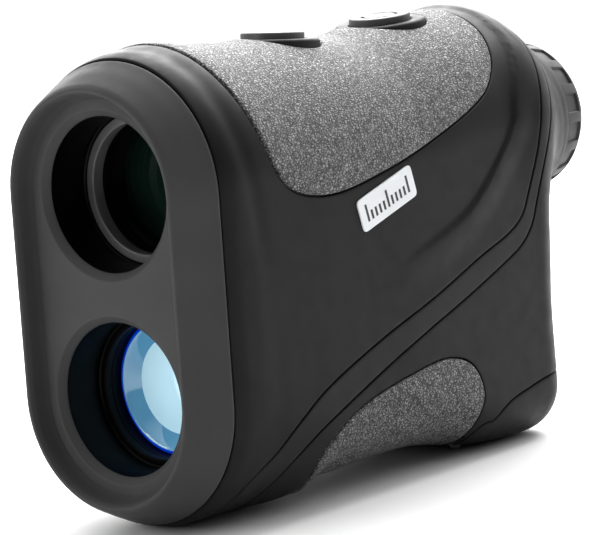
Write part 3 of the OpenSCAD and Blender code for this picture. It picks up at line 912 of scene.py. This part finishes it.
def build_bezel():
    """The front bezel: a flared racetrack rim, a recessed face and two chamfered ports."""
    rows = [race(r, y) for r, y in fillet(BEZEL_SIDE, closed=False, n=6)]
    port = fillet(PORT_SIDE, closed=False, n=5)
    count = 72
    turn = -np.arange(count) / count * 2 * math.pi
    parts = [strip(rows)]
    dark = [0] * len(parts[0][1])
    circles = {}
    for z in (LOW_Z, UP_Z):
        rings = [about_y(z)(np.full(count, r), np.full(count, h), turn) for r, h in port]
        parts.append(strip(rings))
        # the ports' bores past the chamfer take the near-black barrel material, darker than the bezel's
        # own plastic: painted shade deep inside the ports
        dark += [int(h > BORE_Y - 0.1) for _, h in port[:-1] for _ in range(count)]
        circles[z] = (rings[0], rings[-1])
    parts.append(flat_face([rows[0], circles[LOW_Z][0], circles[UP_Z][0]], RECESS, False))
    parts.append(flat_face([rows[-1], circles[LOW_Z][1], circles[UP_Z][1]], 5.6, True))
    mesh = both(parts)
    dark += [0] * (len(mesh[1]) - len(dark))
    looks = [MATERIALS["bezel_plastic"], MATERIALS["barrel_black"]]
    piece("bezel", mesh, looks, "housing", "bezel_plastic", ["front_bezel"], 30, dark, True)


# ---- optics ----

def thread(r, start, end, pitch, depth):
    """A line of fine ridges along a bore, from start to end."""
    out = []
    for k in range(int((end - start) / pitch)):
        y = start + k * pitch
        out += [[r, y, 0], [r + depth, y + 0.35 * pitch, 0], [r + depth, y + 0.65 * pitch, 0],
                [r, y + 0.98 * pitch, 0]]
    return out


# profiles about the optical axes: [r, y, corner rounding]
OBJECTIVE_TUBE = (
    [[13.9, 12, 0.2], [13.9, 36, 0.2], [10.4, 36, 0.2], [10.4, 25, 0.1], [11.4, 25, 0.1],
     [11.4, 19.6, 0.1], [11.1, 19.4, 0.1]]
    + thread(11.0, 15.3, 18.2, 1.3, 0.22)[::-1]
    + [[11.0, 14.95, 0.1], [12.2, 14.95, 0], [12.2, 12.3, 0.1], [12.5, 12, 0.1]]
)
OBJECTIVE_RING = [
    [12.15, 12.4, 0.12], [12.15, 14.9, 0.1], [10.9, 14.9, 0.1], [10.7, 12.6, 0.15],
    [10.85, 12.4, 0.12],
]
RECEIVER_TUBE = [
    [13.9, 12, 0.2], [13.9, 30, 0.2], [10.4, 30, 0.2], [10.4, 28.2, 0.1], [11.4, 28.2, 0.1],
    [11.4, 14.2, 0.1], [11.25, 14.0, 0.1], [11.25, 13.75, 0.1], [12.2, 13.75, 0],
    [12.2, 12.3, 0.1], [12.5, 12, 0.1],
]
RECEIVER_RING = [
    [12.15, 12.1, 0.12], [12.15, 13.7, 0.1], [11.3, 13.7, 0.1], [11.2, 12.3, 0.12],
    [11.3, 12.1, 0.1],
]


def build_optics():
    """The tubes, retaining rings and front lenses of both ports."""
    rings = [
        ("tube_objective", OBJECTIVE_TUBE, UP_Z, "barrel_black", "objective_barrel"),
        ("ring_objective", OBJECTIVE_RING, UP_Z, "retainer_grey", "objective_ring"),
        ("tube_receiver", RECEIVER_TUBE, LOW_Z, "barrel_black", "receiver_barrel"),
        ("ring_receiver", RECEIVER_RING, LOW_Z, "barrel_black", "receiver_ring"),
    ]
    for name, profile, z, slot, node in rings:
        mesh = turned(fillet(profile), about_y(z), 128)
        piece(name, mesh, MATERIALS[slot], "housing", slot, [node], 30, tidy=True)
    build_receiver_lens()
    crown = [[0.001, 19.0]]
    crown += [[11.3 * t, 19.0 + 1.4 * t * t] for t in np.linspace(0.08, 1, 14)]
    crown += [[11.3, 24.2], [0.001, 24.7]]
    piece("lens_objective", turned(crown, about_y(UP_Z), 96, closed=False),
          MATERIALS["lens_green"], "housing", "lens_green", ["objective_lens"], 40, tidy=True)


def build_receiver_lens():
    """The blue-coated lens: a deep blue bevel, a hollow steel-blue bowl and a pale inner lens; all
    three carry a painted glow for a reflection of bright surroundings, and the inner lens's pale colour
    is a painted reflection.
    """
    # each of these three glows at 0.5 though it is no lamp: a painted reflection of bright
    # surroundings; the inner lens's pale colour is a painted reflection too
    deep = coated("lens_bevel", (0.0, 0.02, 0.35), (0.0, 0.04, 0.6), 0.5)
    bowl = coated("lens_bowl", (0.02, 0.17, 0.36), (0.11, 0.30, 0.46), 0.5)
    painted_reflection = coated("lens_painted_reflection", (0.38, 0.62, 0.76), (0.5, 0.76, 0.88), 0.5)
    bevel_r, bowl_r, front_y, bowl_y = 10.7, 8.2, 15.7, 17.6
    rows = [[11.3, 20.0], [11.3, 16.0], [11.1, 15.8], [bevel_r, front_y]]
    kinds = [0, 0, 0]
    for t in np.linspace(0.1, 1, 10):
        rows.append([bevel_r - 2.5 * t, front_y + 1.9 * t ** 1.2])
        kinds.append(1)
    for t in np.linspace(0.1, 1, 10):
        rows.append([bowl_r * (1 - t) + 0.001, bowl_y - 0.6 * (1 - (1 - t) ** 2)])
        kinds.append(2)
    rows += [[0.001, 20.5], [11.3, 20.5]]
    kinds += [0, 0, 0]
    count = 96
    piece("lens_receiver", turned(rows, about_y(LOW_Z), count), [deep, bowl, painted_reflection], "housing",
          "lens_blue", ["receiver_lens"], 40, np.repeat(kinds, count), True)


# ---- eyepiece ----

FLUTES = 16
PAD_DEPTH = 0.5
# [r, distance behind the ring's front edge, corner rounding]
RING_FRONT = [[TUBE_R, 0, 0.1], [14.5, 0, 0.2], [14.9, 0.5, 0.3], [14.75, 1.9, 0.3], [14.45, 2.4, 0.2]]
# [r, distance before the ring's rear edge, corner rounding]
RING_BACK = [[13.5, 0.8, 0], [13.1, 0, 0.4], [10.7, 0, 0.2], [10.7, 1.6, 0.1], [TUBE_R, 1.6, 0.1]]


def build_eyepiece():
    """The fluted diopter ring and the eyecup behind it."""
    front, back = RING_Y, RING_END
    rows = list(fillet([[r, front + y, size] for r, y, size in RING_FRONT], closed=False))
    for y in np.linspace(front + 2.5, back - 0.9, 22):
        rows.append([14.45 - 0.85 * ((y - front - 2.5) / (back - front - 3.4)) ** 1.4, y])
    rows += list(fillet([[r, back - y, size] for r, y, size in RING_BACK], closed=False))

    def pads(r, h, a):
        share = (a / (2 * math.pi) * FLUTES) % 1
        across_pad = ease((0.34 - np.abs(share - 0.5)) / 0.05)
        along = ease((h - front - 2.7) / 0.35) * ease((back - 1.1 - h) / 0.35)
        outside = r > 13.2
        return r - PAD_DEPTH * across_pad * along * outside, h

    ring = turned(rows, about_y(UP_Z), FLUTES * 24, change=pads)
    piece("ring_diopter", ring, MATERIALS["ring_rubber"], "diopter", "ring_rubber", ["diopter_ring"],
          38, tidy=True)
    cup = fillet([[9.3, back + 0.05, 0.1], [12.4, back + 0.05, 0.1], [12.3, EYECUP_END - 0.5, 0.3],
                  [11.6, EYECUP_END, 0.4], [10.2, EYECUP_END, 0.4], [9.3, EYECUP_END - 0.8, 0.3]])
    piece("cup_eye", turned(cup, about_y(UP_Z), 96), MATERIALS["eyecup_rubber"], "diopter",
          "eyecup_rubber", ["eyecup"], 38, tidy=True)


# ---- buttons ----

COLLAR_FOOT = -5.6
COLLAR_SHELF = -3.5
LIP_TOP, LIP_FOOT = -3.65, -4.65
LIP_R = BUTTON_R + 0.9
STEM_R = 1.3
DISH_R, DISH_DEPTH = 4.6, 0.04
MARK_R = 3.05
# [CAD node, piece, place, how far below the cap's top its stem ends, whether it carries the mark]
CAPS = [
    ["mode_button", "cap_mode", MODE, 6.85, False],
    ["fire_button", "cap_fire", FIRE, 7.25, True],
]


def mark(r, h, a):
    """A broken ring sunk into the cap's top."""
    ring = ease((0.34 - np.abs(r - MARK_R)) / 0.16)
    broken = ease((np.abs(np.sin(a)) - 0.3) / 0.08)
    return r, h - 0.3 * ring * broken * (h > -0.2)


def build_buttons():
    """The two collars as one piece, and a cap with its lip and stem for each button."""
    top = -CAP_RISE
    collar = fillet([
        [BUTTON_R + 0.2, COLLAR_SHELF, 0], [BUTTON_R + 0.2, top - 0.25, 0.15],
        [BUTTON_R + 0.45, top, 0.2], [COLLAR_R - 0.35, top, 0.3], [COLLAR_R, top - 0.35, 0.3],
        [COLLAR_R, COLLAR_FOOT, 0], [BUTTON_R + 1.2, COLLAR_FOOT, 0],
        [BUTTON_R + 1.2, COLLAR_SHELF, 0],
    ])
    rings = [turned(collar, about_button(b), 96) for b in (MODE, FIRE)]
    piece("collars_buttons", both(rings), MATERIALS["collar_plastic"], "housing", "collar_plastic",
          ["button_collars"], 34, tidy=True)
    for node, name, button, foot, marked in CAPS:
        rows = [[0.001, -DISH_DEPTH]]
        rows += [[r, -DISH_DEPTH * (1 - (r / DISH_R) ** 2)] for r in np.arange(0.3, 4.7, 0.16)]
        side = [
            [4.7, 0.0, 0], [BUTTON_R, 0.0, 0.45], [BUTTON_R, LIP_TOP, 0], [LIP_R, LIP_TOP, 0],
            [LIP_R, LIP_FOOT, 0], [STEM_R, LIP_FOOT, 0], [STEM_R, -foot, 0], [0.001, -foot, 0],
        ]
        rows += list(fillet(side, closed=False))
        mesh = turned(rows, about_button(button), 96, closed=False, change=mark if marked else None)
        piece(name, mesh, MATERIALS["button_rubber"], node, "button_rubber", [node], 34, tidy=True)


# ---- label ----

LABEL_TURN = math.radians(17)
LABEL_Y, LABEL_Z = 48.2, MID_Z + 10.6
LABEL_BACK = HALF_W + 0.02
LABEL_THICK = 0.28
# [length, height, corner rounding]
LABEL_CORNERS = [[-7.6, -2.8, 0.9], [7.6, -2.8, 0.9], [7.6, 2.8, 0.9], [-7.6, 2.8, 0.9]]
TICKS, TICK_PITCH, TICK_HALF = 11, 1.15, 0.26
TICK_FOOT, TICK_SHORT, TICK_LONG = -1.5, 0.1, 1.5


def on_label(u, v, x):
    """A point of the label from its own length, height and depth."""
    c, s = math.cos(LABEL_TURN), math.sin(LABEL_TURN)
    return [x, LABEL_Y + u * c - v * s, LABEL_Z + u * s + v * c]


def plate(outline, low, high):
    """A flat closed plate on the label's plane, between two depths."""
    n = len(outline)
    points = [on_label(u, v, x) for x in (low, high) for u, v in outline]
    faces = [list(range(n))[::-1], list(range(n, 2 * n))]
    faces += [[i, (i + 1) % n, n + (i + 1) % n, n + i] for i in range(n)]
    return np.array(points), faces


def build_label():
    """The side label, with a generic row of ticks in place of any text."""
    face = LABEL_BACK + LABEL_THICK
    blank = plate(fillet(LABEL_CORNERS), LABEL_BACK, face)
    piece("label_blank", blank, MATERIALS["label_silver"], "housing", "label_silver",
          ["label_plate"], 30)
    bars = []
    for k in range(TICKS):
        u = TICK_PITCH * (k - (TICKS - 1) / 2)
        top = TICK_LONG if k % 5 == 0 else TICK_SHORT
        low, high = u - TICK_HALF, u + TICK_HALF
        bars.append(plate([[low, TICK_FOOT], [high, TICK_FOOT], [high, top], [low, top]],
                          face - 0.01, face + 0.03))
    piece("label_ticks", both(bars), MATERIALS["black_plastic"], "housing", "black_plastic", (), 30)


# ---- camera, light and floor ----

# the photograph's view: azimuth, elevation and roll in degrees, and the place in metres
CAMERA_TURN = [40.558, 8.214, -3.91]
CAMERA_SPOT = (0.31095, -0.374225, 0.1055)
CAMERA_LENS = 172.6
# [name, place, aim, size, power]
LIGHTS = [
    ["top", (-0.12, 0.36, 0.5), (0, 0, 0.06), (0.5, 0.5), 6],
    ["back", (-0.45, 0.5, 0.3), (0, 0, 0.07), (0.5, 0.4), 3],
    ["front", (-0.25, -0.6, 0.25), (0, 0, 0.04), (0.3, 0.3), 1.35],
]
# the direction towards which the sky brightens, and its range of brightness
SKY_AXIS = (-0.5, 0.5, 0.7)
SKY_DARK, SKY_LIGHT = 0.05, 1.6
FLOOR_REACH = 3.0


def build_camera():
    az, el, roll = (math.radians(v) for v in CAMERA_TURN)
    back = Vector((math.sin(az) * math.cos(el), -math.cos(az) * math.cos(el), math.sin(el)))
    right = Vector((math.cos(az), math.sin(az), 0))
    up = back.cross(right)
    rolled_right = math.cos(roll) * right + math.sin(roll) * up
    rolled_up = -math.sin(roll) * right + math.cos(roll) * up
    data = bpy.data.cameras.new("camera")
    data.lens, data.sensor_width = CAMERA_LENS, 36
    camera = bpy.data.objects.new("camera", data)
    bpy.context.scene.collection.objects.link(camera)
    turn = Matrix((rolled_right, rolled_up, back)).transposed().to_4x4()
    camera.matrix_world = Matrix.Translation(Vector(CAMERA_SPOT)) @ turn
    bpy.context.scene.camera = camera


def softbox(name, spot, aim, size, power):
    """A rectangular light at spot, turned towards aim."""
    data = bpy.data.lights.new(name, "AREA")
    data.shape, data.size, data.size_y, data.energy = "RECTANGLE", size[0], size[1], power
    light = bpy.data.objects.new(name, data)
    bpy.context.scene.collection.objects.link(light)
    light.location = spot
    light.rotation_euler = (Vector(aim) - Vector(spot)).to_track_quat("-Z", "Y").to_euler()


def build_studio():
    """A sky that brightens behind and above the object, three soft lights and a pale floor."""
    world = bpy.data.worlds.new("studio")
    bpy.context.scene.world = world
    world.use_nodes = True
    tree = world.node_tree
    sky = tree.nodes["Background"]
    coords = tree.nodes.new("ShaderNodeTexCoord")
    dot = tree.nodes.new("ShaderNodeVectorMath")
    dot.operation = "DOT_PRODUCT"
    dot.inputs[1].default_value = SKY_AXIS
    tree.links.new(coords.outputs["Generated"], dot.inputs[0])
    strength = ranged(tree, dot.outputs["Value"], -0.1, 0.55, SKY_DARK, SKY_LIGHT)
    tree.links.new(strength, sky.inputs["Strength"])
    sky.inputs["Color"].default_value = (1, 1, 1, 1)
    bpy.context.scene.view_settings.view_transform = "Standard"
    for row in LIGHTS:
        softbox(*row)
    data = bpy.data.meshes.new("floor")
    far = FLOOR_REACH
    corners = [(-far, -far, 0), (far, -far, 0), (far, far, 0), (-far, far, 0)]
    data.from_pydata(corners, [], [(0, 1, 2, 3)])
    floor = bpy.data.objects.new("floor", data)
    bpy.context.scene.collection.objects.link(floor)
    material, tree, shader = tree_of("floor", grey(0.9), 0.7)
    tinted(tree, shader, noise(tree, 300, 2).outputs[0], 0.3, 0.7, grey(0.89), grey(0.92))
    data.materials.append(material)


build_camera()
build_studio()
paint_cad_nodes()
build_bezel()
build_skins()
build_optics()
build_eyepiece()
build_buttons()
build_label()
